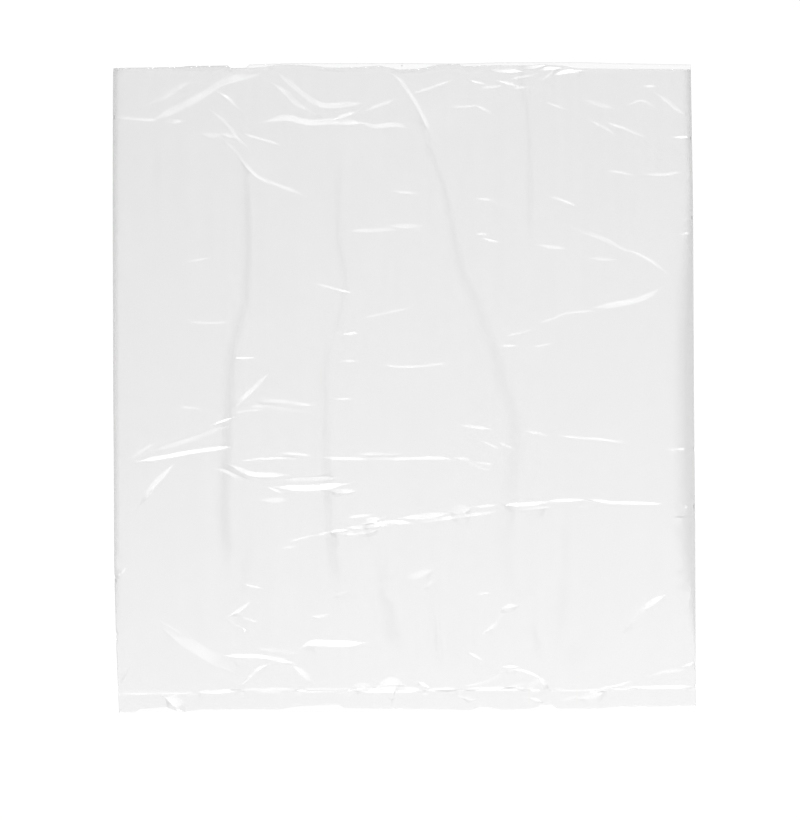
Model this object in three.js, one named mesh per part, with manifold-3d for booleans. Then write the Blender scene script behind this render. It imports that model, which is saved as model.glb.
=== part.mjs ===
// A clear sampling bag of blown plastic film, lying on a table with its mouth towards +Y.
// The film is one seamless lay-flat tube. Its two side edges are folds, a single weld near the
// bottom closes it, and the short skirt below the weld is left as two loose plies.
// Millimetres, +Z up, origin on the table under the middle of the bag.
import * as THREE from "three";
import { mergeVertices } from "three/addons/utils/BufferGeometryUtils.js";
import Module from "manifold-3d";

// The bag as cut and welded
const BAG_WIDTH = 450; // from fold to fold
const BAG_LENGTH = 500; // from the bottom edge to the mouth
const FILM = 0.1; // one wall
const PLY_GAP = 0.2; // air left where the two walls lie together
const SKIRT = 12; // from the bottom edge to the weld
const WELD_WIDTH = 2;

// How the front wall lies over the back wall, which is flat on the table
const LIFT = 8; // what the trapped air lifts the front wall by
const MOUTH_LIFT = 6.5; // how far the two lips stand apart
const MOUTH_SAG_LENGTH = 70; // length over which the front wall comes down to its lip
const WELD_RISE_LENGTH = 90; // length over which it comes down to the weld
const LEFT_ROUND = 40; // width of the bend beside the left fold
const RIGHT_ROUND = 14; // width of the tighter bend beside the right fold
const LIP_STEP = 4; // how far the front lip is drawn back from the back lip
const LIP_EVEN = 0.16; // share of the width, from the left, where the lips are still even
const LIP_DRAWN = 0.3; // share of the width where the front lip is drawn back in full

// Soft folds are round ridges that run up the bag, and creases are sharp ones across it.
const SOFT_FOLD_HEIGHT = 1.6;
const SOFT_FOLD_REACH = 16; // from the ridge line to where the fold ends, each side
const CREASE_HEIGHT = 2.4;
const CREASE_REACH = 10;
const RUN_OUT = 25; // length over which a ridge dies away at its ends

// Spacing of the points that the walls are drawn with
const GRID = 10;
const ROUND_STEPS = 4; // points across the bend beside a fold
const FLATNESS = 0.002; // points that lie this near to a flat face are not kept
const SETTLE_SHARE = 0.34; // share of the spacing that a point may move to reach a crease
const OVERRUN = 5; // how far a hollow is cut past the edge that it opens at

// Each ridge line is a list of places on the front wall: shares of the width from the left fold
// and of the length from the bottom edge.
const SOFT_FOLDS = [
  // down the left side
  [[0.19, 0.88], [0.23, 0.71], [0.2, 0.59], [0.19, 0.36], [0.19, 0.24], [0.22, 0.18], [0.17, 0.11]],
  // left of the middle
  [[0.39, 0.87], [0.39, 0.63], [0.36, 0.57], [0.36, 0.39], [0.38, 0.27], [0.39, 0.22]],
  // from the mouth, slanting down to the right
  [[0.49, 0.98], [0.53, 0.9], [0.59, 0.71], [0.64, 0.6], [0.69, 0.44], [0.68, 0.32]],
  // two short ones, right of the mouth's middle and above the weld
  [[0.71, 0.95], [0.72, 0.86], [0.71, 0.73]],
  [[0.46, 0.2], [0.49, 0.07]],
];
const CREASES = [
  // below the mouth
  [[0.07, 0.92], [0.18, 0.966], [0.28, 0.985]],
  [[0.29, 0.98], [0.35, 0.937], [0.42, 0.94]],
  [[0.27, 0.914], [0.39, 0.911], [0.52, 0.905]],
  [[0.19, 0.89], [0.24, 0.83], [0.32, 0.8]],
  [[0.63, 0.97], [0.68, 0.955], [0.74, 0.975]],
  // right of the middle
  [[0.79, 0.737], [0.96, 0.675]],
  [[0.67, 0.574], [0.78, 0.616], [0.93, 0.641]],
  [[0.6, 0.439], [0.89, 0.411]],
  // the sheaf at the left
  [[0.02, 0.386], [0.2, 0.449], [0.33, 0.47]],
  [[0.06, 0.383], [0.2, 0.404]],
  [[0.17, 0.379], [0.24, 0.351], [0.41, 0.345]],
  [[0.22, 0.39], [0.54, 0.39], [0.65, 0.383]],
  [[0.02, 0.2], [0.09, 0.31], [0.15, 0.37]],
  // the long one across the lower half
  [[0.3, 0.253], [0.38, 0.275], [0.67, 0.313], [0.95, 0.317]],
  // above the weld
  [[0.07, 0.135], [0.21, 0.053]],
  [[0.2, 0.081], [0.29, 0.076], [0.34, 0.042]],
  [[0.32, 0.097], [0.44, 0.098]],
  [[0.57, 0.042], [0.68, 0.059], [0.74, 0.045]],
  [[0.84, 0.053], [0.95, 0.174]],
];

const LEFT = -BAG_WIDTH / 2;
const RIGHT = BAG_WIDTH / 2;
const BOTTOM = -BAG_LENGTH / 2;
const MOUTH = BAG_LENGTH / 2;
const WELD_LOW = BOTTOM + SKIRT;
const WELD_TOP = WELD_LOW + WELD_WIDTH;
const TWO_PLIES = 2 * FILM + PLY_GAP;

const { clamp, smoothstep } = THREE.MathUtils;

// Straight stretches of a ridge line in bag coordinates, with the length that lies before each.
function stretchesOf(places) {
  const inBag = ([u, v]) => new THREE.Vector3(LEFT + u * BAG_WIDTH, BOTTOM + v * BAG_LENGTH, 0);
  const points = places.map(inBag);
  let before = 0;
  return points.slice(1).map((end, i) => {
    const stretch = { line: new THREE.Line3(points[i], end), before };
    before += stretch.line.distance();
    return stretch;
  });
}

function ridgesOf(lists, height, reach, rounded) {
  return lists.map((places) => {
    const stretches = stretchesOf(places);
    const last = stretches.at(-1);
    return { stretches, length: last.before + last.line.distance(), height, reach, rounded };
  });
}

const creases = ridgesOf(CREASES, CREASE_HEIGHT, CREASE_REACH, false);
const softFolds = ridgesOf(SOFT_FOLDS, SOFT_FOLD_HEIGHT, SOFT_FOLD_REACH, true);

// The place on a ridge line nearest to a point of the wall, and how far off it is.
function nearestOn(ridge, point) {
  const best = { off: Infinity, along: 0, foot: new THREE.Vector3() };
  for (const { line, before } of ridge.stretches) {
    const share = line.closestPointToPointParameter(point, true);
    const foot = line.at(share, new THREE.Vector3());
    const off = foot.distanceTo(point);
    if (off < best.off) Object.assign(best, { off, foot, along: before + share * line.distance() });
  }
  return best;
}

// Height of one ridge at a point: a tent, or a round bump, that dies away at the line's ends.
function ridgeHeight(ridge, point) {
  const { off, along } = nearestOn(ridge, point);
  const tent = Math.max(0, 1 - off / ridge.reach);
  const section = ridge.rounded ? smoothstep(tent, 0, 1) : tent;
  const toEnd = Math.min(along, ridge.length - along);
  return ridge.height * section * smoothstep(toEnd, -RUN_OUT / 2, RUN_OUT);
}

const highest = (ridges, point) => Math.max(...ridges.map((ridge) => ridgeHeight(ridge, point)));

// A quarter of an ellipse: upright at the fold, level where the bend ends.
const bend = (off, width) => Math.sqrt(1 - (1 - clamp(off / width, 0, 1)) ** 2);

// Height of the front wall's outer face above the table.
function frontHeight(x, y) {
  const acrossBends = bend(x - LEFT, LEFT_ROUND) * bend(RIGHT - x, RIGHT_ROUND);
  const offWeld = smoothstep(y, WELD_TOP, WELD_TOP + WELD_RISE_LENGTH);
  const toLip = smoothstep(y, MOUTH - MOUTH_SAG_LENGTH, MOUTH);
  const air = offWeld * (LIFT + (MOUTH_LIFT - LIFT) * toLip);
  const point = new THREE.Vector3(x, y, 0);
  const folds = highest(softFolds, point) + highest(creases, point);
  const nearWeld = smoothstep(y, WELD_TOP, WELD_TOP + CREASE_REACH);
  return TWO_PLIES + acrossBends * (air + nearWeld * folds);
}

// A point of the grid that lies close to a crease is moved onto its ridge line, so that the ridge is
// sharp. The share is small enough that no three corners of one triangle land on the same line.
function settle(x, y) {
  const point = new THREE.Vector3(x, y, 0);
  const inside = x > LEFT + GRID && x < RIGHT - GRID && y > WELD_TOP + GRID && y < MOUTH - GRID;
  if (!inside) return point;
  const nearest = creases
    .map((crease) => nearestOn(crease, point))
    .reduce((a, b) => (b.off < a.off ? b : a));
  return nearest.off < SETTLE_SHARE * GRID ? nearest.foot : point;
}

// How far the front wall is drawn back from the mouth at a place.
function drawnBack(x, y) {
  const share = (x - LEFT) / BAG_WIDTH;
  const nearMouth = smoothstep(y, MOUTH - MOUTH_SAG_LENGTH, MOUTH);
  return LIP_STEP * smoothstep(share, LIP_EVEN, LIP_DRAWN) * nearMouth;
}

// The front wall, at a depth below its outer face that is measured square to the wall's section.
function frontWall(depth) {
  const step = FILM / 10;
  return (x, y, target) => {
    const at = settle(x, y);
    const from = Math.max(at.x - step, LEFT);
    const to = Math.min(at.x + step, RIGHT);
    const slope = (frontHeight(to, at.y) - frontHeight(from, at.y)) / (to - from);
    const lean = Math.atan(slope);
    const across = clamp(at.x + depth * Math.sin(lean), LEFT + depth, RIGHT - depth);
    const up = frontHeight(at.x, at.y) - depth * Math.cos(lean);
    target.set(across, at.y - drawnBack(at.x, at.y), up);
  };
}

// The back wall, at a height above the table.
function backWall(height) {
  return (x, y, target) => target.set(clamp(x, LEFT + height, RIGHT - height), y, height);
}

// Places across the bag: close together in the two bends, then about a grid apart.
function columnPlaces() {
  const turn = Math.PI / 2 / ROUND_STEPS;
  const inBend = (width) => Array.from({ length: ROUND_STEPS }, (_, i) => width * (1 - Math.cos(i * turn)));
  const from = LEFT + LEFT_ROUND;
  const to = RIGHT - RIGHT_ROUND;
  const steps = Math.round((to - from) / GRID);
  const level = Array.from({ length: steps + 1 }, (_, i) => from + ((to - from) * i) / steps);
  const left = inBend(LEFT_ROUND).map((off) => LEFT + off);
  const right = inBend(RIGHT_ROUND).map((off) => RIGHT - off);
  return [...left, ...level, ...right.reverse()];
}

// Places up the bag, from the weld to the mouth.
function rowPlaces() {
  const steps = Math.round((MOUTH - WELD_TOP) / GRID);
  return Array.from({ length: steps + 1 }, (_, i) => WELD_TOP + ((MOUTH - WELD_TOP) * i) / steps);
}

const manifold = await Module();
manifold.setup();

function solidOf(geometry) {
  geometry.deleteAttribute("normal");
  geometry.deleteAttribute("uv");
  const closed = mergeVertices(geometry);
  const vertProperties = closed.getAttribute("position").array;
  const triVerts = new Uint32Array(closed.index.array);
  return new manifold.Manifold(new manifold.Mesh({ numProp: 3, vertProperties, triVerts }));
}

function geometryOf(solid) {
  const { vertProperties, triVerts } = solid.getMesh();
  const geometry = new THREE.BufferGeometry();
  geometry.setAttribute("position", new THREE.BufferAttribute(vertProperties, 3));
  geometry.setIndex(new THREE.BufferAttribute(triVerts, 1));
  geometry.computeVertexNormals();
  return geometry;
}

// A closed block whose upper and lower faces are grids laid on two surfaces.
function blockBetween(columns, rows, upper, lower) {
  const block = new THREE.BoxGeometry(1, 1, 1, columns.length - 1, rows.length - 1, 1);
  const corners = block.getAttribute("position");
  const point = new THREE.Vector3();
  for (let i = 0; i < corners.count; i++) {
    const x = columns[Math.round((corners.getX(i) + 0.5) * (columns.length - 1))];
    const y = rows[Math.round((corners.getY(i) + 0.5) * (rows.length - 1))];
    const surface = corners.getZ(i) > 0 ? upper : lower;
    surface(x, y, point);
    corners.setXYZ(i, point.x, point.y, point.z);
  }
  return solidOf(block);
}

// The bag: its outer form, less the pocket between its walls and the slot between the skirt's plies.
function makeBag() {
  const columns = columnPlaces();
  const rows = rowPlaces();
  const outside = blockBetween(columns, [BOTTOM, WELD_LOW, ...rows], frontWall(0), backWall(0));
  const pocket = blockBetween(columns, [...rows, MOUTH + OVERRUN], frontWall(FILM), backWall(FILM));
  const slot = blockBetween(columns, [BOTTOM - OVERRUN, WELD_LOW], frontWall(FILM), backWall(FILM));
  const film = new THREE.MeshStandardMaterial({
    color: 0xe9e9ea,
    roughness: 0.18,
    metalness: 0,
    transparent: true,
    opacity: 0.35,
    side: THREE.DoubleSide,
  });
  const walls = outside.subtract(pocket).subtract(slot).simplify(FLATNESS);
  const bag = new THREE.Mesh(geometryOf(walls), film);
  bag.name = "bag";
  return bag;
}

const samplingBag = new THREE.Group();
samplingBag.add(makeBag());

export default samplingBag;
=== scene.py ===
import math

import bmesh
import bpy
import mathutils
import numpy as np
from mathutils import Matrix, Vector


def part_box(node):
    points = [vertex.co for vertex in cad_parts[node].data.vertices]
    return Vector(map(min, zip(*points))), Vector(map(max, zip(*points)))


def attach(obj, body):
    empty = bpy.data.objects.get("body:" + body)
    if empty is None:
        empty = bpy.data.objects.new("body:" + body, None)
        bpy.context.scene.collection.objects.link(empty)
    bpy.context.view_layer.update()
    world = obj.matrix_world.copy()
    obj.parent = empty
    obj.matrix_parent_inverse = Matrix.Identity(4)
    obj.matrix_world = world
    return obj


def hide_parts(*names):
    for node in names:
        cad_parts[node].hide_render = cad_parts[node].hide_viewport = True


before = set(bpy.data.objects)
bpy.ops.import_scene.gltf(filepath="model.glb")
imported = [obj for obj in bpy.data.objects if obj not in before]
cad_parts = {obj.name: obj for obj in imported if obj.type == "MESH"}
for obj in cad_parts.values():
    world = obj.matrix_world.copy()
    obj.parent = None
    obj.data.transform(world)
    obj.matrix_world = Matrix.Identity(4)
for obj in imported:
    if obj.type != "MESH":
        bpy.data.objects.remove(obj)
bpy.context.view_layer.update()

# The view: straight down on the bag from well above it, through a long lens, with the bag turned by
# half a degree in the picture. Pixels are those of the photograph's 800 by 820 frame.
PHOTO_HEIGHT_PX = 820
PHOTO_MIDDLE_PX = np.array((400.0, 410.0))
BAG_MIDDLE_PX = np.array((404.8, 388.2))
BAG_WIDTH_PX = 577.5
BAG_TURN = math.radians(0.52)
CAMERA_HEIGHT = 8.0
SENSOR_HEIGHT = 36.0

bag_low, bag_high = (np.array(corner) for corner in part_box("bag"))
BAG_WIDTH, BAG_LENGTH = (bag_high - bag_low)[:2]
PIXEL = BAG_WIDTH / BAG_WIDTH_PX
picture_right = np.array((math.cos(BAG_TURN), -math.sin(BAG_TURN)))
picture_up = np.array((math.sin(BAG_TURN), math.cos(BAG_TURN)))

camera_data = bpy.data.cameras.new("camera")
camera_data.sensor_fit = "VERTICAL"
camera_data.sensor_height = SENSOR_HEIGHT
camera_data.lens = SENSOR_HEIGHT * CAMERA_HEIGHT / (PHOTO_HEIGHT_PX * PIXEL)
camera = bpy.data.objects.new("camera", camera_data)
bag_offset = (BAG_MIDDLE_PX - PHOTO_MIDDLE_PX) * PIXEL
camera_place = bag_offset[1] * picture_up - bag_offset[0] * picture_right
camera.location = (*camera_place, CAMERA_HEIGHT)
camera.rotation_euler = (0.0, 0.0, -BAG_TURN)
bpy.context.scene.collection.objects.link(camera)
bpy.context.scene.camera = camera


# The film: one seamless tube of clear polyethylene, blown, flattened and cut to length. Its sides are
# folds, a hot bar has welded it shut just above the bottom edge, and the mouth is left open. It was
# packed folded, so creases cross it, and a little air holds its front wall off its back wall.
MM = 0.001
FILM = 0.1 * MM
SKIRT = 12.5 * MM
WELD_WIDTH = 2.0 * MM
PLY_GAP = 0.25 * MM
LIFT = 8.0 * MM
MOUTH_LIFT = 7.0 * MM
MOUTH_SAG = 120 * MM
# How far above the weld the front wall has come up to its full height, in the middle and at the side folds,
# and how far in from a fold the one goes over to the other.
WELD_RISE = 170 * MM
FOLD_WELD_RISE = 115 * MM
FOLD_WELD_REACH = 60 * MM
SOFT_RISE = 50 * MM
FLAT_EDGE_LIFT = 3.0 * MM
FLAT_EDGE_ROUND = 14 * MM
PLUMP_EDGE_LIFT = 9.6 * MM
PLUMP_EDGE_ROUND = 33 * MM
# Where the right fold is plump: its column of pixels, then how plump it is, the rows of pixels between
# which it swells, and the rows between which it sinks again.
PLUMP_COLUMN_PX = 690
PLUMP_PX = ((0.06, 20, 90, 150, 195), (1.0, 165, 365, 540, 770))
EDGE_RISE = 150 * MM
EDGE_REACH = 12 * MM
FOLD_MARGIN = 3 * MM
LIP_CURL = 1.32 * MM
LIP_CURL_LENGTH = 4.6 * MM
LIP_CURL_POWER = 1.1
BACK_CURL = 0.33 * MM
BACK_CURL_LENGTH = 1.2 * MM
# How far the front lip curls up along the mouth, as a part of its full curl, at some pixels.
CURL_PX = (
    *((113, 70), (170, 70), (185, 70), (225, 70), (245, 70), (270, 70), (300, 70), (480, 70), (510, 70)),
    *((570, 70), (690, 70)),
)
CURL_SHARE = (0.8, 0.8, 1.05, 1.05, 0.6, 0.6, 0.9, 0.9, 0.2, 0.2, 0.5)
# How far apart the mesh's points are, on the plain film and where it is finer or coarser. The lines of the
# creases keep inside the rim, and points nearer than the last value are one.
COARSE_STEP = 3.4 * MM
CREASE_STEP = 1.6 * MM
EDGE_STEP = 1.2 * MM
BACK_STEP = 12.0 * MM
BACK_TURN_POINTS = np.array((0.2, 0.6, 1.5, 4.0)) * MM
LEFT_BEND_POINTS = 7
RIGHT_BEND_POINTS = 16
SKIRT_STEP = 3.0 * MM
WELD_STEP = 0.7 * MM
LIP_BAND = 8.0 * MM
LIP_STEP = 1.0 * MM
RIM = 0.3 * MM
SAME_PLACE = 1e-6

# A crease is given by how bright its lit flank is (1 is white), the widths of its lit and its shaded
# flank in millimetres, and the pixels that the middle of the lit flank passes through, left to right.
# A ridge is lit on the side towards the mouth. A valley is lit on the side towards the weld. Most of the
# first three numbers were set by a fitting script, from the streaks in the photograph and in renders.
RIDGES = (
    # Below the left end of the mouth
    (0.42, 5.1, 6.9, ((152, 120), (180, 107), (203, 95), (214, 87), (228, 80), (255, 74), (278, 66))),
    (0.32, 6.0, 6.4, ((143, 105), (160, 98), (176, 89), (182, 83), (196, 82))),
    (0.40, 2.4, 3.6, ((117, 117), (140, 119), (162, 121))),
    (0.50, 3.5, 6.2, ((171, 122), (179, 121))),
    (0.64, 2.1, 6.2, ((220, 93), (228, 97), (238, 108))),
    (0.46, 2.4, 4.6, ((213, 112), (225, 121), (234, 133), (241, 143), (247, 147))),
    (0.38, 4.8, 4.6, ((203, 134), (219, 135))),
    (0.46, 3.0, 5.2, ((223, 134), (236, 137))),
    (0.42, 2.5, 3.4, ((222, 137), (232, 147), (240, 156), (248, 168), (259, 178), (275, 184), (302, 194))),
    (0.42, 1.6, 2.1, ((245, 134), (258, 138), (272, 142), (280, 145))),
    (0.42, 4.0, 6.0, ((274, 72), (286, 79), (297, 89), (308, 98), (321, 106), (340, 105), (362, 103))),
    (0.46, 4.5, 7.9, ((274, 84), (286, 92), (297, 104), (312, 112))),
    (0.48, 4.6, 7.5, ((264, 122), (276, 119), (290, 117), (300, 121), (314, 123), (332, 121), (364, 123))),
    (0.38, 3.5, 4.1, ((362, 123), (374, 127), (393, 124), (402, 126), (410, 128))),
    (0.50, 3.0, 7.0, ((335, 119), (354, 112))),
    (0.44, 2.3, 3.1, ((367, 110), (382, 104), (396, 99))),
    (0.42, 1.9, 2.4, ((414, 93), (430, 88), (449, 81))),
    (0.62, 2.8, 5.0, ((394, 74), (401, 80), (408, 91), (416, 103), (423, 116), (431, 133))),
    # The crumple at the middle of the mouth
    (0.34, 1.6, 1.6, ((452, 107), (476, 106))),
    (0.42, 2.0, 2.4, ((478, 106), (490, 112))),
    (0.90, 3.2, 5.2, ((490, 71), (504, 71), (521, 72))),
    (0.74, 3.0, 3.6, ((526, 69), (536, 67), (547, 66))),
    (0.48, 1.7, 1.6, ((510, 79), (534, 75))),
    (0.60, 1.9, 2.2, ((500, 81), (518, 86))),
    (0.64, 1.6, 2.6, ((517, 88), (525, 87))),
    (1.04, 2.2, 6.3, ((538, 71), (562, 68))),
    (0.82, 1.6, 6.6, ((544, 79), (553, 72))),
    (1.08, 3.2, 25.7, ((555, 75), (570, 70), (584, 68))),
    (0.62, 1.6, 3.3, ((472, 81), (484, 84))),
    (0.42, 2.1, 3.2, ((482, 88), (500, 86))),
    # Below the right end of the mouth
    (0.40, 1.6, 1.8, ((547, 103), (566, 109))),
    (0.34, 3.9, 4.0, ((583, 99), (600, 104), (615, 109))),
    (0.48, 1.8, 2.5, ((591, 121), (604, 127), (615, 134))),
    (0.48, 2.1, 3.1, ((607, 123), (622, 127), (636, 133), (646, 137))),
    (0.52, 1.6, 3.0, ((630, 104), (642, 99), (655, 107))),
    (0.50, 3.1, 5.2, ((657, 94), (668, 101), (678, 110), (686, 115))),
    (0.70, 1.7, 3.7, ((674, 137), (690, 137))),
    (0.52, 1.6, 3.0, ((646, 86), (655, 86))),
    (0.56, 1.8, 3.8, ((607, 171), (622, 172), (635, 176))),
    (0.52, 2.1, 4.7, ((645, 174), (660, 175), (682, 172))),
    # The upper half
    (0.48, 1.6, 2.6, ((393, 191), (417, 194))),
    (0.46, 1.6, 2.2, ((477, 199), (492, 200))),
    (0.32, 1.6, 1.6, ((492, 201), (502, 205), (515, 207))),
    (0.52, 1.8, 2.5, ((551, 197), (563, 200), (576, 206))),
    (0.46, 2.5, 4.3, ((350, 231), (380, 230), (400, 229), (424, 230))),
    (0.48, 3.1, 5.5, ((390, 226), (422, 226))),
    (0.64, 1.6, 3.0, ((485, 239), (498, 242))),
    (0.56, 1.6, 2.9, ((478, 234), (486, 234))),
    (0.72, 2.6, 12.5, ((537, 245), (552, 247), (567, 249))),
    (0.40, 2.2, 2.6, ((590, 258), (615, 260))),
    (0.38, 2.7, 2.8, ((572, 228), (590, 234), (605, 239), (618, 246), (630, 253))),
    (0.38, 2.4, 2.4, ((628, 250), (645, 257), (656, 264), (666, 272))),
    (0.54, 1.6, 3.2, ((317, 284), (332, 288), (352, 293))),
    (0.56, 1.6, 3.4, ((190, 322), (208, 323), (228, 322))),
    (0.80, 1.6, 4.9, ((343, 334), (357, 333))),
    (0.58, 1.6, 3.5, ((343, 361), (356, 361))),
    (0.54, 1.6, 3.8, ((365, 318), (380, 314), (395, 311), (410, 308))),
    (0.76, 1.6, 4.3, ((236, 358), (254, 358))),
    (0.64, 1.6, 3.8, ((385, 365), (400, 367), (425, 366), (445, 363))),
    (0.60, 1.6, 3.5, ((335, 399), (350, 399))),
    (0.60, 1.6, 3.8, ((181, 407), (200, 409))),
    (0.54, 1.8, 3.4, ((187, 262), (208, 258))),
    (0.76, 3.4, 11.9, ((233, 409), (243, 398), (254, 388), (268, 374))),
    # The sheaf of creases at the left
    (0.60, 2.5, 3.7, ((130, 460), (142, 450), (156, 443))),
    (0.88, 1.6, 2.1, ((213, 425), (222, 421), (232, 418))),
    (0.60, 1.6, 1.7, ((233, 414), (243, 411), (262, 410))),
    (0.64, 2.6, 6.1, ((255, 401), (280, 401), (298, 404), (313, 405))),
    (0.90, 3.0, 5.3, ((140, 461), (165, 457), (185, 453), (205, 450), (230, 447))),
    (0.76, 3.5, 5.1, ((230, 465), (242, 470), (254, 475), (270, 475), (287, 475))),
    (1.08, 4.6, 21.6, ((277, 487), (295, 488), (315, 488), (330, 486), (347, 484))),
    (0.78, 3.6, 5.3, ((330, 491), (355, 491))),
    (0.86, 1.6, 5.2, ((270, 488), (282, 493))),
    (0.76, 3.9, 14.7, ((262, 500), (286, 500))),
    (0.64, 1.9, 4.2, ((280, 453), (300, 454), (312, 456))),
    (0.82, 2.3, 6.6, ((360, 454), (400, 454))),
    (0.64, 2.4, 5.8, ((458, 458), (469, 460))),
    (0.60, 1.6, 3.6, ((466, 461), (478, 467), (488, 470))),
    (0.60, 1.6, 3.6, ((477, 463), (491, 464))),
    # The long crease across the lower half
    (0.78, 1.6, 9.1, ((283, 548), (296, 546))),
    (0.98, 1.6, 10.7, ((291, 541), (310, 536))),
    (1.02, 1.9, 9.4, ((319, 535), (325, 533))),
    (1.22, 2.3, 17.2, ((331, 532), (340, 530), (347, 530))),
    (1.00, 3.5, 11.8, ((348, 528), (375, 525), (395, 522), (412, 523))),
    (1.06, 3.1, 14.5, ((340, 534), (365, 532), (378, 530))),
    (0.94, 1.8, 9.8, ((347, 518), (356, 516), (370, 515))),
    (0.74, 5.0, 18.6, ((362, 523), (378, 519))),
    (0.74, 4.5, 12.9, ((402, 518), (412, 517), (430, 516), (448, 513))),
    (0.96, 2.4, 13.5, ((420, 522), (448, 518), (478, 514), (494, 512))),
    (0.60, 6.6, 22.0, ((450, 511), (470, 508))),
    (0.80, 2.3, 10.0, ((476, 507), (495, 505))),
    (1.14, 3.0, 26.0, ((504, 505), (530, 504), (547, 502))),
    (0.90, 2.2, 10.0, ((518, 510), (535, 508), (550, 507))),
    (0.95, 2.2, 8.0, ((548, 501), (570, 500), (584, 500))),
    (1.06, 2.2, 9.5, ((583, 499), (600, 501), (615, 503), (640, 503), (660, 504))),
    (0.56, 1.9, 3.5, ((580, 507), (603, 504))),
    (0.64, 2.2, 5.3, ((461, 425), (475, 427), (491, 429))),
    (0.54, 2.0, 3.5, ((526, 431), (538, 433), (548, 436))),
    (0.66, 1.7, 2.8, ((563, 436), (580, 438), (600, 439), (612, 441), (626, 443))),
    (0.72, 1.6, 4.3, ((484, 442), (498, 448))),
    (0.60, 1.9, 10.6, ((500, 443), (512, 448))),
    # Nips in the two side folds
    (0.26, 1.6, 1.6, ((683, 219), (692, 218))),
    (0.54, 1.6, 4.0, ((683, 234), (688, 233))),
    (0.70, 1.6, 4.8, ((668, 450), (685, 449), (693, 448))),
    (1.00, 1.6, 3.4, ((686, 507), (692, 507))),
    (1.34, 1.6, 7.8, ((675, 517), (694, 517))),
    (0.60, 1.6, 5.0, ((674, 570), (680, 570))),
    (0.86, 4.0, 16.0, ((138, 508), (152, 486), (172, 466))),
    (0.30, 4.0, 12.0, ((126, 556), (153, 512))),
    (1.02, 1.8, 5.0, ((119, 578), (126, 569))),
    (0.25, 3.2, 10.0, ((118, 640), (128, 615), (137, 593), (151, 566))),
    (0.90, 2.0, 9.0, ((121, 684), (129, 668))),
    # Above the weld
    (0.74, 9.0, 26.0, ((160, 628), (185, 641), (205, 654), (225, 666), (238, 675))),
    (0.78, 1.6, 6.0, ((158, 620), (172, 628), (185, 636))),
    (1.22, 3.0, 18.6, ((226, 656), (245, 656), (265, 657), (280, 660), (294, 664))),
    (0.88, 4.1, 15.5, ((293, 666), (305, 675), (315, 684))),
    (0.74, 2.9, 12.8, ((258, 649), (275, 650), (298, 654))),
    (1.30, 2.4, 13.2, ((243, 684), (252, 674), (260, 667), (267, 665))),
    (0.8, 2.0, 9.0, ((236, 662), (248, 667))),
    (1.08, 5.1, 26.0, ((300, 649), (308, 643), (320, 643), (340, 644), (365, 643))),
    (1.16, 2.6, 13.0, ((231, 615), (240, 610), (250, 602))),
    (1.10, 1.6, 8.0, ((228, 620), (236, 625), (245, 630))),
    (1.14, 1.6, 17.0, ((244, 618), (256, 622))),
    (1.12, 1.6, 16.7, ((247, 585), (260, 588))),
    (0.96, 2.3, 17.6, ((314, 617), (327, 615))),
    (1.10, 1.8, 11.0, ((334, 596), (348, 591))),
    (0.72, 5.4, 26.0, ((404, 578), (418, 575), (432, 570))),
    (0.84, 2.2, 12.0, ((424, 588), (433, 581))),
    (1.30, 1.6, 12.4, ((470, 653), (482, 660))),
    (0.96, 1.6, 9.0, ((479, 594), (488, 593))),
    (1.14, 2.6, 15.0, ((500, 611), (506, 606), (513, 605), (518, 606))),
    (1.18, 2.8, 15.0, ((485, 632), (495, 625), (503, 612))),
    (0.94, 5.6, 26.0, ((376, 687), (385, 682), (395, 680), (405, 686))),
    (0.66, 3.4, 9.0, ((352, 687), (360, 684), (372, 687))),
    (1.10, 2.2, 12.5, ((420, 683), (428, 687))),
    (0.82, 1.6, 6.1, ((468, 686), (482, 683), (495, 679), (502, 673))),
    (1.02, 1.7, 8.2, ((502, 672), (518, 669), (530, 673), (541, 678))),
    (1.12, 2.1, 11.8, ((505, 667), (517, 667))),
    (0.72, 2.4, 8.0, ((500, 690), (512, 687), (525, 684))),
    (1.26, 3.3, 20.1, ((541, 679), (548, 688))),
    (0.92, 1.6, 5.8, ((525, 688), (536, 681))),
    (0.98, 1.6, 6.4, ((603, 688), (618, 686), (629, 682))),
    (1.14, 4.0, 26.0, ((622, 632), (632, 620), (640, 611), (652, 602), (667, 594))),
    (1.22, 1.6, 10.1, ((686, 666), (693, 663))),
    (0.68, 2.5, 7.9, ((650, 676), (668, 671), (685, 670))),
    # The weld's bead
    (0.74, 1.6, 4.4, ((124, 694), (150, 694), (192, 693))),
    (1.34, 2.9, 26.0, ((196, 692), (220, 692), (241, 690))),
    (0.80, 4.3, 26.0, ((240, 690), (262, 691), (298, 690))),
    (0.64, 1.6, 3.0, ((296, 689), (325, 689), (352, 689))),
    (1.06, 1.6, 13.0, ((300, 692), (340, 691))),
    (1.34, 4.6, 26.0, ((352, 690), (380, 690), (425, 690))),
    (1.34, 3.4, 26.0, ((425, 690), (460, 690))),
    (1.34, 2.9, 26.0, ((460, 690), (497, 689), (552, 690))),
    (0.74, 2.4, 6.6, ((555, 690), (575, 690), (606, 689))),
    (1.34, 2.7, 26.0, ((612, 689), (640, 688), (692, 687))),
    # Across the skirt
    (0.76, 8.2, 12.0, ((166, 698), (178, 703), (185, 711))),
    (0.90, 2.0, 3.5, ((462, 697), (475, 700))),
    (1.20, 1.8, 5.0, ((530, 698), (538, 700), (543, 705))),
    (0.98, 5.3, 19.4, ((578, 698), (595, 694), (606, 691))),
    (0.92, 1.6, 4.1, ((563, 700), (576, 697))),
)
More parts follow.
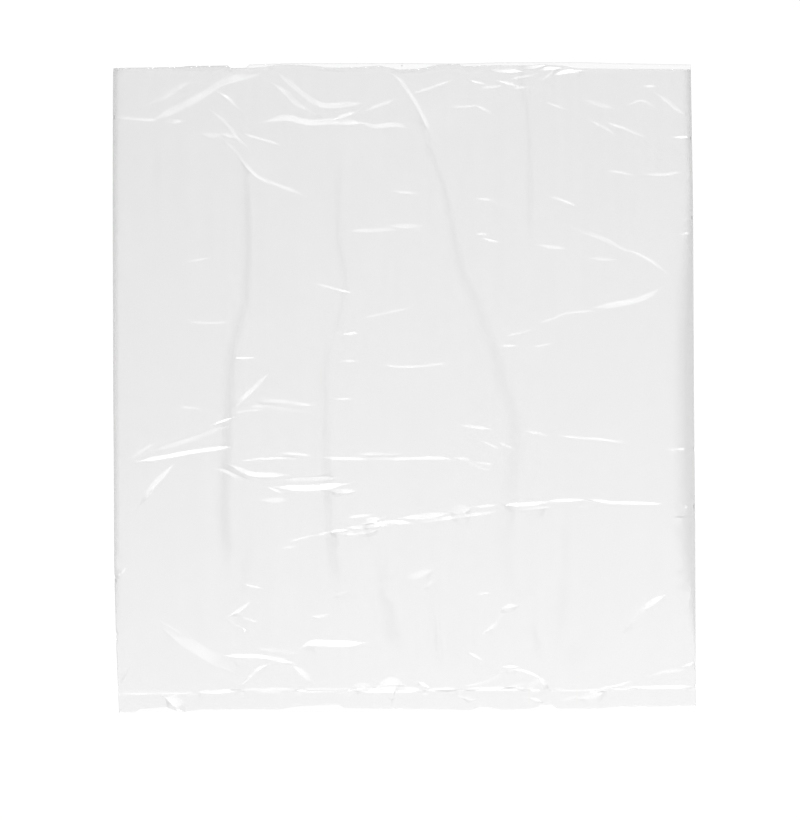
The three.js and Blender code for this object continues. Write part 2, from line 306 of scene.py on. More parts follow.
VALLEYS = (
    # Right of the middle
    (0.40, 1.6, 1.6, ((505, 336), (520, 333), (532, 330))),
    (0.48, 1.6, 1.9, ((540, 323), (552, 319), (562, 314), (576, 312), (594, 311))),
    (0.44, 4.2, 5.2, ((594, 308), (612, 305), (630, 302), (642, 299), (652, 294), (660, 288))),
    (0.58, 1.7, 3.4, ((498, 346), (515, 346))),
    (0.38, 1.6, 1.6, ((532, 347), (545, 345), (555, 342))),
    # The sheaf of creases at the left
    (0.48, 3.3, 2.6, ((155, 450), (180, 443), (200, 436), (213, 431), (228, 426))),
    (0.62, 2.3, 4.7, ((246, 407), (268, 406), (282, 409), (304, 411))),
    (0.56, 2.6, 2.8, ((214, 468), (228, 472), (238, 478), (250, 480))),
    (0.56, 3.1, 2.6, ((284, 480), (310, 479), (338, 478))),
    (0.70, 1.6, 2.2, ((243, 461), (258, 459), (280, 458), (300, 459))),
    (0.74, 2.2, 5.8, ((325, 458), (360, 459), (400, 459), (425, 458), (443, 458), (452, 460))),
)

# The cut edges wander a little: the pixels along each edge of each wall, from left to right.
BACK_LIP_PX = (
    (113, 68), (178, 67), (182, 67.5), (187, 66), (228, 65.5), (230, 68), (246, 68), (249, 64.5),
    (280, 63.5), (300, 63), (400, 63), (460, 63.5), (500, 62.3), (580, 62), (620, 63.2), (691, 64.5),
)
FRONT_LIP_PX = (
    (113, 68.3), (178, 67.5), (187, 66.5), (228, 66), (230, 68.4), (246, 68.4), (262, 67.5), (278, 65),
    (296, 65), (317, 66.5), (330, 68), (360, 67.5), (380, 66), (400, 70), (420, 69), (438, 65), (459, 64.5),
    (464, 66.5), (480, 66), (490, 65.5), (530, 65.5), (545, 64.5), (563, 66), (577, 68.5), (691, 69.5),
)
BACK_BOTTOM_PX = (
    (119, 713), (125, 714), (160, 713), (200, 712), (330, 712.5), (430, 712.5), (470, 711), (520, 711),
    (536, 709), (543, 706), (552, 705.5), (558, 709.5), (600, 709), (650, 708), (696, 706),
)
FRONT_BOTTOM_PX = (
    (119, 712), (135, 712), (140, 709), (166, 707), (175, 710), (183, 712), (200, 709.5), (280, 709),
    (300, 706), (338, 704.5), (345, 708), (430, 709), (470, 710), (480, 706.5), (505, 710), (530, 709),
    (542, 705), (552, 704.5), (557, 708.5), (600, 708.5), (620, 706), (650, 707), (696, 705.5),
)

# The side folds bow out a little: the pixels along each, downwards.
LEFT_FOLD_PX = (
    (113.2, 66), (112.9, 100), (112.7, 200), (113.0, 300), (113.3, 400), (113.8, 460), (114.2, 560),
    (115.1, 600), (116.1, 640), (117.3, 670), (118.4, 700), (119.2, 714),
)
RIGHT_FOLD_PX = (
    (690.8, 62), (691.3, 100), (693.0, 200), (693.5, 300), (694.0, 400), (694.8, 480), (695.2, 520),
    (695.5, 640), (695.7, 670), (695.7, 707),
)

# A soft fold is a low wave that the air leaves: its left flank is steep and shows dark, and the right
# one dies away slowly. Its steep flank's slope and width in millimetres where it starts, the same
# where it ends, and its pixels, downwards.
SOFT_FOLDS = (
    (
        (0.185, 9.0), (0.165, 16.0),
        (
            *((240, 130), (247, 190), (248, 250), (246, 300), (239, 325), (232, 348), (230, 380)),
            *((227, 440), (225, 480), (224, 510), (226, 540), (229, 600)),
        ),
    ),
    ((0.16, 8.0), (0.16, 8.0), ((250, 510), (246, 575), (237, 598), (222, 615), (206, 645))),
    (
        (0.18, 8.0), (0.185, 17.0),
        (
            *((341, 110), (338, 180), (338, 240), (347, 280), (336, 330), (328, 350), (324, 380)),
            *((326, 400), (325, 450), (328, 490), (330, 530), (333, 560), (341, 620)),
        ),
    ),
    (
        (0.21, 7.0), (0.19, 25.0),
        (
            *((402, 85), (420, 125), (432, 155), (441, 180), (447, 200), (453, 235), (462, 275)),
            *((475, 300), (484, 325), (495, 355), (503, 385), (514, 420), (515, 450), (511, 480)),
            (503, 545),
        ),
    ),
    ((0.20, 8.0), (0.25, 13.0), ((516, 0), (522, 80), (529, 130), (530, 170), (529, 215), (528, 280))),
    ((0.175, 16.0), (0.18, 24.0), ((370, 500), (386, 595), (393, 640), (397, 740))),
    ((0.26, 8.0), (0.28, 12.0), ((429, 560), (436, 640), (441, 740))),
    ((0.14, 20.0), (0.14, 20.0), ((502, 490), (505, 540), (506, 620))),
    ((0.23, 11.0), (0.24, 12.0), ((528, 585), (536, 640), (550, 740))),
    ((0.20, 16.0), (0.20, 16.0), ((567, 460), (564, 560), (560, 660), (557, 740))),
    ((0.20, 5.0), (0.20, 5.0), ((598, 80), (630, 80), (668, 81))),
)
SOFT_TAIL = 60 * MM
SOFT_TAPER = 52 * MM
LIT_SLOPE = 0.28
LIT_CURVE = 1.08
SHADED_CURVE = 1.6
TAPER = 5.0 * MM
TAPER_PER_WIDTH = 2.5
LONGEST_TAPER = 0.4
NARROWEST = 0.06
WAVER = 0.10
WAVER_LENGTH = 5.3 * MM
WAVER_SHIFT = 1.7
CREASE_TIP = 2.5 * MM
CREASE_ROUND = 3
CREASE_MARGIN = 0.6
# The mesh's lines along a crease, as shares of its lit and of its shaded flank, from the top. The coarse
# grid is cleared from a share of the shaded flank, and edges may be sharp on a smaller one.
LIT_LINES = (1.0, 0.45, 0.0)
SHADED_LINES = (0.2, 0.5)
CLEARED_SHARE = 0.5
SHARP_SHARE = 0.1
SHARP = math.radians(5.5)
SHARP_ANYWHERE = math.radians(30)


def evenly(start, end, step):
    """Places from start to end, about a step apart, with both ends."""
    return np.linspace(start, end, max(2, round(abs(end - start) / step) + 1))


def from_photo(pixels, height=0.0):
    """Places on the bag for pixels of the photograph: scaled, less so the nearer the film is to the
    camera, then turned back by the bag's turn."""
    off = (np.array(pixels, float) - BAG_MIDDLE_PX) * (PIXEL, -PIXEL)
    return off @ np.stack((picture_right, picture_up)) * (1.0 - height / CAMERA_HEIGHT)


def along_line(x, y, line):
    """For each point, its distance from a line of straight stretches, positive on the line's left as one
    walks along it, the length walked to the nearest place on it, and the line's whole length."""
    off = np.full(x.shape, np.inf)
    side = np.ones(x.shape)
    walked = np.zeros(x.shape)
    before = 0.0
    for start, end in zip(line[:-1], line[1:]):
        run = end - start
        length = np.hypot(*run)
        ahead = ((x - start[0]) * run[0] + (y - start[1]) * run[1]) / length
        across = ((y - start[1]) * run[0] - (x - start[0]) * run[1]) / length
        clipped = np.clip(ahead, 0.0, length)
        distance = np.hypot(across, ahead - clipped)
        nearer = distance < off
        off = np.where(nearer, distance, off)
        side = np.where(nearer, np.sign(across), side)
        walked = np.where(nearer, before + clipped, walked)
        before += length
    return off * side, walked, before


def smooth(value, start, end):
    """0 before start, 1 after end, and a cubic ease between them."""
    t = np.clip((value - start) / (end - start), 0.0, 1.0)
    return t * t * (3.0 - 2.0 * t)


def run_out(walked, length, longest):
    """1 along the middle of a line, easing to 0 at both of its ends."""
    taper = min(longest, LONGEST_TAPER * length)
    return smooth(np.minimum(walked, length - walked), 0.0, taper)


def crease_line(pixels):
    """A line through the places of some pixels, as points a step apart, with its corners rounded off."""
    places = from_photo(pixels, LIFT)
    steps = np.diff(places, axis=0)
    steps *= CREASE_TIP / np.hypot(*steps.T)[:, None]
    places = np.concatenate((places[:1] - steps[:1], places, places[-1:] + steps[-1:]))
    walked = np.concatenate(([0.0], np.cumsum(np.hypot(*np.diff(places, axis=0).T))))
    stations = evenly(0.0, walked[-1], CREASE_STEP)
    line = np.stack([np.interp(stations, walked, places[:, axis]) for axis in (0, 1)], axis=-1)
    reach = min(CREASE_ROUND, len(line) - 1)
    padded = np.pad(line, ((reach, reach), (0, 0)), mode="reflect", reflect_type="odd")
    window = np.ones(2 * reach + 1) / (2 * reach + 1)
    return np.stack([np.convolve(padded[:, axis], window, mode="valid") for axis in (0, 1)], axis=-1)


def narrowing(walked, length, lit):
    """How wide a crease is at a place along it, as a part of its full width: it runs out to a point."""
    return np.maximum(run_out(walked, length, TAPER + TAPER_PER_WIDTH * lit * MM), NARROWEST)


def points_near(x, y, line, reach):
    """The numbers of the points that lie within reach of the box around a line."""
    low, high = line.min(axis=0) - reach, line.max(axis=0) + reach
    return np.nonzero((x > low[0]) & (x < high[0]) & (y > low[1]) & (y < high[1]))[0]


def crease_heights(x, y):
    """Sum of all creases. Each is a tent whose lit flank falls over the lit width and whose other flank
    falls over the shaded width, steepest at the top. Its height is the lit width times the lit slope."""
    total = np.zeros(x.shape)
    for number, (sign, bright, lit, shaded, line) in enumerate(CREASES):
        near = points_near(x, y, line, (lit + shaded) * MM)
        off, walked, length = along_line(x[near], y[near], line)
        width = narrowing(walked, length, lit)
        from_top = sign * off / MM / width + lit / 2
        tent = np.clip(np.where(from_top > 0, 1 - from_top / lit, 1 + from_top / shaded), 0.0, 1.0)
        tent **= np.where(from_top > 0, LIT_CURVE, SHADED_CURVE)
        waver = 1 + WAVER * np.sin(walked / WAVER_LENGTH + number * WAVER_SHIFT)
        total[near] += sign * bright * LIT_SLOPE * lit * MM * width * waver * tent
    return total


def in_crease(x, y, shaded_share):
    """Whether each point lies on a crease's lit flank, on a share of its other flank, or right beside
    them."""
    found = np.zeros(x.shape, bool)
    for sign, bright, lit, shaded, line in CREASES:
        near = points_near(x, y, line, (lit + shaded) * MM)
        off, walked, length = along_line(x[near], y[near], line)
        from_top = sign * off / MM + lit / 2
        on_lit_side = from_top < lit + CREASE_MARGIN
        on_shaded_side = from_top > -shaded_share * shaded - CREASE_MARGIN
        found[near] |= on_lit_side & on_shaded_side
    return found


def soft_heights(x, y):
    """Sum of the soft folds: each goes up across its steep flank, as 1/2 + 5/8 (u - u^5 / 5) with u from
    -1 to 1, and eases down again over its long tail."""
    total = np.zeros(x.shape)
    for first, last, pixels in SOFT_FOLDS:
        off, walked, length = along_line(x, y, from_photo(pixels, LIFT))
        slope, width = (a + (b - a) * walked / length for a, b in zip(first, last))
        reach = width * MM / 2
        u = np.clip(off / reach, -1.0, 1.0)
        wave = (0.5 + 0.625 * (u - u**5 / 5)) * (1.0 - smooth(off, reach, reach + SOFT_TAIL))
        total += slope * width * MM * wave * run_out(walked, length, SOFT_TAPER)
    return total


def bend(off, width):
    """A quarter of an ellipse: upright at 0, level from width on."""
    return np.sqrt(1.0 - (1.0 - np.clip(off / width, 0.0, 1.0)) ** 2)


def edge_line(x, pixels):
    """Where a cut edge runs along the bag: straight stretches between the places of its pixels."""
    places = from_photo(pixels)
    return np.interp(x, places[:, 0], places[:, 1])


def moved_to_edges(x, y, lip_pixels, bottom_pixels):
    """Places along the bag with the film next to its lip and its bottom edge drawn to where they run."""
    lip = edge_line(x, lip_pixels) - BAG_LENGTH / 2
    bottom = edge_line(x, bottom_pixels) + BAG_LENGTH / 2
    to_lip = smooth(y, BAG_LENGTH / 2 - EDGE_REACH, BAG_LENGTH / 2)
    to_bottom = smooth(-y, BAG_LENGTH / 2 - EDGE_REACH, BAG_LENGTH / 2)
    return y + lip * to_lip + bottom * to_bottom


def moved_to_sides(x, y):
    """Places across the bag with the film next to its side folds drawn to where those run."""
    left, right = (from_photo(pixels)[::-1] for pixels in (LEFT_FOLD_PX, RIGHT_FOLD_PX))
    left_move = np.interp(y, left[:, 1], left[:, 0]) + BAG_WIDTH / 2
    right_move = np.interp(y, right[:, 1], right[:, 0]) - BAG_WIDTH / 2
    to_left = smooth(-x, BAG_WIDTH / 2 - EDGE_REACH, BAG_WIDTH / 2)
    to_right = smooth(x, BAG_WIDTH / 2 - EDGE_REACH, BAG_WIDTH / 2)
    return x + left_move * to_left + right_move * to_right


def edge_height(off, lift, edge_lift, edge_round):
    """Height beside a fold: round from the fold up to the edge lift, then easing up to the full lift."""
    return edge_lift * bend(off, edge_round) + (lift - edge_lift) * smooth(off, 0.0, EDGE_RISE)


def front_height(x, y):
    """Height of the front wall's middle: the air's lift, the two folds, soft folds and creases."""
    from_left = x + BAG_WIDTH / 2
    from_right = BAG_WIDTH / 2 - x
    weld_top = SKIRT + WELD_WIDTH - BAG_LENGTH / 2
    inwards = smooth(np.minimum(from_left, from_right), 0.0, FOLD_WELD_REACH)
    weld_rise = FOLD_WELD_RISE + (WELD_RISE - FOLD_WELD_RISE) * inwards
    off_weld = smooth(y, weld_top, weld_top + weld_rise)
    to_lip = smooth(y, BAG_LENGTH / 2 - MOUTH_SAG, BAG_LENGTH / 2)
    lift = LIFT + (MOUTH_LIFT - LIFT) * to_lip
    plump = np.zeros(x.shape)
    for share, *rows in PLUMP_PX:
        swells, swollen, sinks, sunk = (from_photo((PLUMP_COLUMN_PX, row))[1] for row in rows)
        plump += share * smooth(-y, -swells, -swollen) * smooth(y, sunk, sinks)
    right_lift = FLAT_EDGE_LIFT + (PLUMP_EDGE_LIFT - FLAT_EDGE_LIFT) * plump
    right_round = FLAT_EDGE_ROUND + (PLUMP_EDGE_ROUND - FLAT_EDGE_ROUND) * plump
    left = edge_height(from_left, lift, FLAT_EDGE_LIFT, FLAT_EDGE_ROUND)
    right = edge_height(from_right, lift, right_lift, right_round)
    inside = smooth(np.minimum(from_left, from_right), 0.0, FOLD_MARGIN)
    soft_folds = soft_heights(x, y) * smooth(y, weld_top, weld_top + SOFT_RISE)
    folds = (crease_heights(x, y) + soft_folds) * inside
    seam = 1.0 - smooth(np.abs(y - weld_top + WELD_WIDTH / 2), WELD_WIDTH / 2, WELD_WIDTH)
    curled = np.interp(x, from_photo(CURL_PX)[:, 0], CURL_SHARE)
    near_lip = np.clip(1.0 - (BAG_LENGTH / 2 - y) / LIP_CURL_LENGTH, 0.0, 1.0)
    curl = LIP_CURL * curled * near_lip**LIP_CURL_POWER * inside
    lying = FILM * 1.5
    raised = PLY_GAP * (1 - seam) + off_weld * (left + right - lift) + folds + curl
    return np.maximum(lying, lying + raised)


CREASES = [
    (sign, bright, lit, shaded, crease_line(pixels))
    for creases, sign in ((RIDGES, 1.0), (VALLEYS, -1.0))
    for bright, lit, shaded, pixels in creases
]

# The tube slit along the middle of its back and laid out: around runs across it, from the slit over the
# left fold, the front wall and the right fold back to the slit, and up runs from the bottom edge.
half = BAG_WIDTH / 2
left_bend = FLAT_EDGE_ROUND * (1 - np.cos(np.linspace(0, math.pi / 2, LEFT_BEND_POINTS)))
right_bend = PLUMP_EDGE_ROUND * (1 - np.cos(np.linspace(0, math.pi / 2, RIGHT_BEND_POINTS)))
around = np.unique(
    np.concatenate(
        (
            evenly(-half, -BACK_STEP, BACK_STEP),
            -BACK_TURN_POINTS,
            left_bend,
            evenly(FLAT_EDGE_ROUND, BAG_WIDTH - PLUMP_EDGE_ROUND, COARSE_STEP),
            BAG_WIDTH - right_bend,
            BAG_WIDTH + BACK_TURN_POINTS,
            evenly(BAG_WIDTH + BACK_STEP, BAG_WIDTH + half, BACK_STEP),
        )
    ).round(7)
)
up = np.unique(
    np.concatenate(
        (
            evenly(0.0, SKIRT, SKIRT_STEP),
            evenly(SKIRT, SKIRT + WELD_WIDTH, WELD_STEP),
            evenly(SKIRT + WELD_WIDTH, BAG_LENGTH - LIP_BAND, COARSE_STEP),
            evenly(BAG_LENGTH - LIP_BAND, BAG_LENGTH, LIP_STEP),
        )
    ).round(7)
)
sheet_around, sheet_up = (grid.ravel() for grid in np.meshgrid(around, up))
at_rim = np.minimum(sheet_around, BAG_WIDTH - sheet_around) < FOLD_MARGIN
keep = at_rim | ~in_crease(sheet_around - half, sheet_up - BAG_LENGTH / 2, CLEARED_SHARE)
edge_around = evenly(-half, BAG_WIDTH + half, EDGE_STEP)
edge_rows = (0.0, BAG_LENGTH - BACK_CURL_LENGTH, BAG_LENGTH)
parts = [np.stack((sheet_around[keep], sheet_up[keep]), axis=-1)]
parts += [np.stack((edge_around, np.full(edge_around.shape, row)), axis=-1) for row in edge_rows]

# Its points also run in lines along each crease: the lit flank's foot, a line up that flank, the top, and
# two lines down the other flank. Edges join the points of each line.
low_corner = np.array((RIM, RIM))
high_corner = np.array((BAG_WIDTH, BAG_LENGTH)) - low_corner
count = sum(len(part) for part in parts)
line_edges = []
for sign, bright, lit, shaded, line in CREASES:
    ahead = np.gradient(line, axis=0)
    ahead /= np.hypot(*ahead.T)[:, None]
    left = np.stack((-ahead[:, 1], ahead[:, 0]), axis=-1)
    steps = np.hypot(*np.diff(line, axis=0).T)
    walked = np.concatenate(([0.0], np.cumsum(steps)))
    width = narrowing(walked, walked[-1], lit)
    tops = [share * lit for share in LIT_LINES] + [-share * shaded for share in SHADED_LINES]
    for from_top in tops:
        off = sign * (from_top - lit / 2) * MM * width
        places = line + left * off[:, None] + (half, BAG_LENGTH / 2)
        parts.append(np.clip(places, low_corner, high_corner))
        numbers = count + np.arange(len(line))
        line_edges.append(np.stack((numbers[:-1], numbers[1:]), axis=-1))
        count += len(line)
sheet_points, _, sheet_faces, _, _, _ = mathutils.geometry.delaunay_2d_cdt(
    np.concatenate(parts).tolist(), np.concatenate(line_edges).tolist(), [], 0, SAME_PLACE, False
)
film_mesh = bpy.data.meshes.new("film_bag")
laid_out = np.pad(np.array(sheet_points), ((0, 0), (0, 1)))
film_mesh.from_pydata(laid_out.tolist(), [], sheet_faces)

# Then it is folded round to its place: the front wall over the back wall, which lies on the table.
flat = np.empty(len(film_mesh.vertices) * 3)
film_mesh.vertices.foreach_get("co", flat)
flat = flat.reshape(-1, 3)
is_front = (flat[:, 0] > 0) & (flat[:, 0] < BAG_WIDTH)
back_around = np.where(flat[:, 0] <= 0, -flat[:, 0], 2 * BAG_WIDTH - flat[:, 0])
bag_x = np.where(is_front, flat[:, 0], back_around) - half
bag_y = flat[:, 1] - BAG_LENGTH / 2
at_fold = np.minimum(np.abs(flat[:, 0]), np.abs(flat[:, 0] - BAG_WIDTH)) < SAME_PLACE
front_z = front_height(bag_x, bag_y)
off_side = smooth(half - np.abs(bag_x), 0.0, FOLD_MARGIN)
near_back_lip = np.clip(1.0 - (BAG_LENGTH / 2 - bag_y) / BACK_CURL_LENGTH, 0.0, 1.0)
back_z = FILM / 2 + BACK_CURL * near_back_lip * off_side
bag_z = np.where(is_front, front_z, back_z)
bag_z = np.where(at_fold, FILM + PLY_GAP / 2, bag_z)
front_y = moved_to_edges(bag_x, bag_y, FRONT_LIP_PX, FRONT_BOTTOM_PX)
back_y = moved_to_edges(bag_x, bag_y, BACK_LIP_PX, BACK_BOTTOM_PX)
bag_y = np.where(is_front, front_y, back_y)
bag_x = moved_to_sides(bag_x, bag_y)
film_mesh.vertices.foreach_set("co", np.stack((bag_x, bag_y, bag_z), axis=-1).ravel())

film = bmesh.new()
film.from_mesh(film_mesh)
bmesh.ops.remove_doubles(film, verts=film.verts, dist=SAME_PLACE)
bmesh.ops.recalc_face_normals(film, faces=film.faces)
film.to_mesh(film_mesh)
film.free()
film_mesh.shade_smooth()
ends = np.empty(len(film_mesh.edges) * 2, dtype=int)
film_mesh.edges.foreach_get("vertices", ends)
places = np.empty(len(film_mesh.vertices) * 3)
film_mesh.vertices.foreach_get("co", places)
middles = places.reshape(-1, 3)[ends.reshape(-1, 2)].mean(axis=1)
on_crease = in_crease(middles[:, 0], middles[:, 1], SHARP_SHARE) & (middles[:, 2] > FILM)
sharp = np.zeros(len(film_mesh.edges), dtype=bool)
for angle, where in ((SHARP, on_crease), (SHARP_ANYWHERE, True)):
    film_mesh.set_sharp_from_angle(angle=angle)
    bent = np.empty(len(film_mesh.edges), dtype=bool)
    film_mesh.attributes["sharp_edge"].data.foreach_get("value", bent)
    sharp |= bent & where
film_mesh.attributes["sharp_edge"].data.foreach_set("value", sharp)
film_bag = bpy.data.objects.new("film_bag", film_mesh)
bpy.context.scene.collection.objects.link(film_bag)
wall = film_bag.modifiers.new("wall", "SOLIDIFY")
wall.thickness = FILM
wall.offset = 0.0
shading = film_bag.modifiers.new("even_shading", "WEIGHTED_NORMAL")
shading.keep_sharp = True

# Clear film: each face takes a little of the light as a faint grey haze, less on film that lies on the
# table and more where the film turns away from the eye. Painted shade: the haze is thicker towards the
# mouth than towards the weld and thicker at the left, and its grey darkens where the film turns away, so
# that folds and turned edges show darker. Haze and gloss also vary a little along the film.
FILM_TINT = (0.27, 0.27, 0.27, 1.0)
# The darker grey where the film turns away is painted shade on crease flanks, folds and turned edges.
TURNED_PAINTED_SHADE = (0.20, 0.20, 0.20, 1.0)
PAINTED_SHADE_FROM = 0.20
FILM_IOR = 1.9
FILM_SPECULAR = 1.0
ROUGHNESS = (0.10, 0.20)
# The haze at the mouth, at the weld and at the left holds painted shade: darker towards the mouth and at
# the left.
MOUTH_HAZE_AND_SHADE = 0.141
WELD_HAZE_AND_SHADE = 0.087
LEFT_PAINTED_SHADE = 0.018
LYING_HAZE = 0.055
TURNED_HAZE = ((0.03, 0.003), (0.055, 0.012), (0.10, 0.058), (0.20, 0.112), (0.35, 0.125), (1.0, 0.11))
TURN_BLEND = 0.82
DIE_LINE_SCALE = (160.0, 3.0, 1.0)
CLOUD_SCALE = 22.0
NOISE_DETAIL = 2.0
NOISE_SUM = (0.6, 1.4)
UNEVENNESS = (0.96, 1.04)
# The way in which the haze and its painted shade thin out and how far along it, in metres, and the stretch
# across the bag over which the painted shade at the left side dies away. Film between the two heights is
# coming off the table.
SHADE_GRADIENT_WAY = (0.06, -1.0, 0.0)
SHADE_GRADIENT_SPAN = (-0.19, 0.24)
LEFT_SHADE_SPAN = (-0.19, -0.02)
OFF_TABLE = (0.12 * MM, 0.35 * MM)


def fill_inputs(links, node, values):
    """Sets a node's inputs in their order, each to a fixed value or to another node's output."""
    for socket, value in zip(node.inputs, values):
        if isinstance(value, bpy.types.NodeSocket):
            links.new(value, socket)
        else:
            socket.default_value = value


def worked_out(nodes, links, operation, *values):
    """The output of a Math node for its values."""
    node = nodes.new("ShaderNodeMath")
    node.operation = operation
    fill_inputs(links, node, values)
    return node.outputs["Value"]


def rescaled(nodes, links, value, before, after):
    """A value brought from the range before to the range after."""
    node = nodes.new("ShaderNodeMapRange")
    fill_inputs(links, node, (value, *before, *after))
    return node.outputs["Result"]


def noise(nodes, links, place, scale):
    """Soft noise over a place, from 0 to 1."""
    node = nodes.new("ShaderNodeTexNoise")
    node.inputs["Scale"].default_value = scale
    node.inputs["Detail"].default_value = NOISE_DETAIL
    links.new(place, node.inputs["Vector"])
    return node.outputs["Fac"]


film_material = bpy.data.materials.new("clear_film")
film_material.use_nodes = True
nodes = film_material.node_tree.nodes
links = film_material.node_tree.links
shader = nodes["Principled BSDF"]
shader.inputs["IOR"].default_value = FILM_IOR
shader.inputs["Specular IOR Level"].default_value = FILM_SPECULAR
on_film = nodes.new("ShaderNodeTexCoord").outputs["Object"]

die_lines = nodes.new("ShaderNodeMapping")
die_lines.inputs["Scale"].default_value = DIE_LINE_SCALE
links.new(on_film, die_lines.inputs["Vector"])
die_noise = noise(nodes, links, die_lines.outputs["Vector"], 1.0)
cloud = noise(nodes, links, on_film, CLOUD_SCALE)
both_noises = worked_out(nodes, links, "ADD", die_noise, cloud)
unevenness = rescaled(nodes, links, both_noises, NOISE_SUM, UNEVENNESS)

# Painted shade: the haze thins from the mouth towards the weld, so the film is darker towards the mouth.
along_shade_gradient = nodes.new("ShaderNodeVectorMath")
along_shade_gradient.operation = "DOT_PRODUCT"
fill_inputs(links, along_shade_gradient, (on_film, SHADE_GRADIENT_WAY))
end_hazes_and_shades = (MOUTH_HAZE_AND_SHADE - LYING_HAZE, WELD_HAZE_AND_SHADE - LYING_HAZE)
haze_with_painted_gradient = rescaled(nodes, links, along_shade_gradient.outputs["Value"], SHADE_GRADIENT_SPAN, end_hazes_and_shades)
axes = nodes.new("ShaderNodeSeparateXYZ")
links.new(on_film, axes.inputs["Vector"])
# Painted shade: extra haze at the left side, dying away towards the middle.
left_painted_shade = rescaled(nodes, links, axes.outputs["X"], LEFT_SHADE_SPAN, (LEFT_PAINTED_SHADE, 0.0))
off_table = rescaled(nodes, links, axes.outputs["Z"], OFF_TABLE, (0.0, 1.0))
# The lifted film's haze, with the painted shade above in it, is added to the lying film's.
lifted_haze_and_shade = worked_out(nodes, links, "ADD", haze_with_painted_gradient, left_painted_shade)
wall_haze_and_shade = worked_out(nodes, links, "MULTIPLY_ADD", lifted_haze_and_shade, off_table, LYING_HAZE)
uneven_haze_and_shade = worked_out(nodes, links, "MULTIPLY", wall_haze_and_shade, unevenness)

turned = nodes.new("ShaderNodeLayerWeight")
turned.inputs["Blend"].default_value = TURN_BLEND
turned_haze = nodes.new("ShaderNodeValToRGB")
haze_ramp = turned_haze.color_ramp
haze_ramp.elements[0].color = (0.0, 0.0, 0.0, 1.0)
haze_ramp.elements.remove(haze_ramp.elements[1])
for facing, share in TURNED_HAZE:
    haze_ramp.elements.new(facing).color = (share, share, share, 1.0)
links.new(turned.outputs["Facing"], turned_haze.inputs["Fac"])
all_haze_and_shade = worked_out(nodes, links, "ADD", turned_haze.outputs["Color"], uneven_haze_and_shade)
all_haze_and_shade.node.use_clamp = True
links.new(all_haze_and_shade, shader.inputs["Alpha"])

# The haze's grey darkens where the film turns away from the eye: painted shade on flanks, folds and edges.
tint_and_painted_shade = nodes.new("ShaderNodeValToRGB")
tint_and_painted_shade.color_ramp.interpolation = "EASE"
tint_and_painted_shade.color_ramp.elements[0].color = FILM_TINT
tint_and_painted_shade.color_ramp.elements[1].color = TURNED_PAINTED_SHADE
tint_and_painted_shade.color_ramp.elements[1].position = PAINTED_SHADE_FROM
links.new(turned.outputs["Facing"], tint_and_painted_shade.inputs["Fac"])
links.new(tint_and_painted_shade.outputs["Color"], shader.inputs["Base Color"])
links.new(rescaled(nodes, links, cloud, (0.0, 1.0), ROUGHNESS), shader.inputs["Roughness"])
film_mesh.materials.append(film_material)
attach(film_bag, "root")
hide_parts("bag")

# The table: a wide white sweep. It shows an even white, with no shadow of the bag, to the camera and in
# reflections, and it takes only a little of the lamps' light.
TABLE_SIZE = 6.0
TABLE_DROP = 0.6 * MM
TABLE_MATT = (0.03, 0.03, 0.03, 1.0)
table_mesh = bpy.data.meshes.new("table")
table_square = np.array(((-1, -1, 0), (1, -1, 0), (1, 1, 0), (-1, 1, 0)))
table_corners = table_square * TABLE_SIZE / 2 - (0, 0, TABLE_DROP)
table_mesh.from_pydata(table_corners.tolist(), [], [(0, 1, 2, 3)])
table = bpy.data.objects.new("table", table_mesh)
bpy.context.scene.collection.objects.link(table)
table_material = bpy.data.materials.new("white_table")
table_material.use_nodes = True
nodes = table_material.node_tree.nodes
links = table_material.node_tree.links
nodes.remove(nodes["Principled BSDF"])
matt = nodes.new("ShaderNodeBsdfDiffuse")
matt.inputs["Color"].default_value = TABLE_MATT
glow = nodes.new("ShaderNodeEmission")


def seen_directly(nodes, links):
    """1 for rays from the camera and for reflected and refracted rays, 0 for the rest."""
    path = nodes.new("ShaderNodeLightPath")
    from_camera, glossy = path.outputs["Is Camera Ray"], path.outputs["Is Glossy Ray"]
    through = path.outputs["Is Transmission Ray"]
    either = worked_out(nodes, links, "MAXIMUM", from_camera, glossy)
    return worked_out(nodes, links, "MAXIMUM", either, through)


links.new(seen_directly(nodes, links), glow.inputs["Strength"])
both = nodes.new("ShaderNodeAddShader")
links.new(matt.outputs["BSDF"], both.inputs[0])
links.new(glow.outputs["Emission"], both.inputs[1])
links.new(both.outputs["Shader"], nodes["Material Output"].inputs["Surface"])
table_mesh.materials.append(table_material)

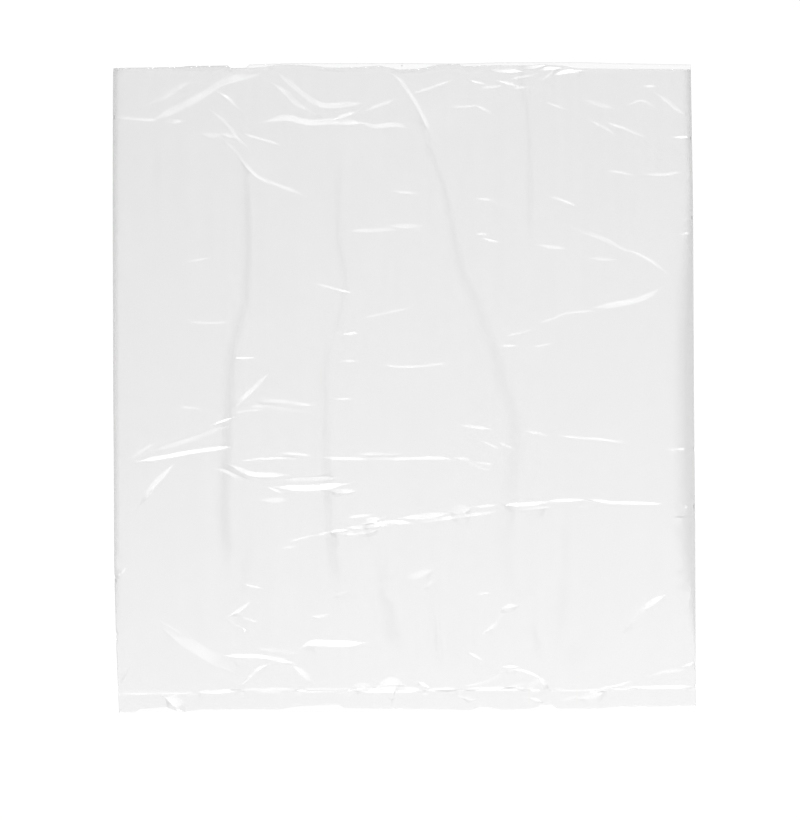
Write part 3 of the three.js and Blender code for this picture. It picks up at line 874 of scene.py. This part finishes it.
# The light: an even pale room, white where it is seen, and three long lamps next to each other beyond the
# mouth, stronger the lower they hang, whose reflections run along the creases that face them. A narrow
# lamp beyond the weld lights the haze at that end.
ROOM_LIGHT = 0.12
LAMP_DISTANCE = 12.0
LAMP_WIDTH = 21.6
LAMP_ASIDE = -2.4
# Each long lamp's name, the angles from straight up between which it hangs, and its radiance.
LONG_LAMPS = (("near_strip", 11, 16, 1.6), ("middle_strip", 16, 22, 2.8), ("far_strip", 22, 37, 6.5))
FILL_PLACE = (0.13, -0.85, 0.45)
FILL_AIM = (0.05, -0.1, 0.0)
FILL_SIZE = (1.4, 0.05)
FILL_POWER = 20.0
world = bpy.data.worlds.new("room")
world.use_nodes = True
bpy.context.scene.world = world
nodes = world.node_tree.nodes
links = world.node_tree.links
room_strength = rescaled(nodes, links, seen_directly(nodes, links), (0.0, 1.0), (ROOM_LIGHT, 1.0))
links.new(room_strength, nodes["Background"].inputs["Strength"])
nodes["Background"].inputs["Color"].default_value = (1.0, 1.0, 1.0, 1.0)


def add_lamp(name, place, aim, size_x, size_y, power):
    """A rectangular lamp at a place, turned to face its aim, with its long side level."""
    lamp_data = bpy.data.lights.new(name, "AREA")
    lamp_data.shape = "RECTANGLE"
    lamp_data.size = size_x
    lamp_data.size_y = size_y
    lamp_data.energy = power
    lamp = bpy.data.objects.new(name, lamp_data)
    towards = np.array(aim) - np.array(place)
    level = math.hypot(towards[0], towards[1])
    lamp.rotation_euler = (math.atan2(level, -towards[2]), 0.0, math.atan2(-towards[0], towards[1]))
    lamp.location = place
    bpy.context.scene.collection.objects.link(lamp)


for name, lowest, highest, radiance in LONG_LAMPS:
    tilt = math.radians((lowest + highest) / 2)
    place = (LAMP_ASIDE, LAMP_DISTANCE * math.sin(tilt), LAMP_DISTANCE * math.cos(tilt))
    deep = 2 * LAMP_DISTANCE * math.tan(math.radians(highest - lowest) / 2)
    power = radiance * LAMP_WIDTH * deep * math.pi
    add_lamp(name, place, (LAMP_ASIDE, 0.0, 0.0), LAMP_WIDTH, deep, power)
add_lamp("weld_side_fill", FILL_PLACE, FILL_AIM, *FILL_SIZE, FILL_POWER)

bpy.context.scene.view_settings.view_transform = "Standard"
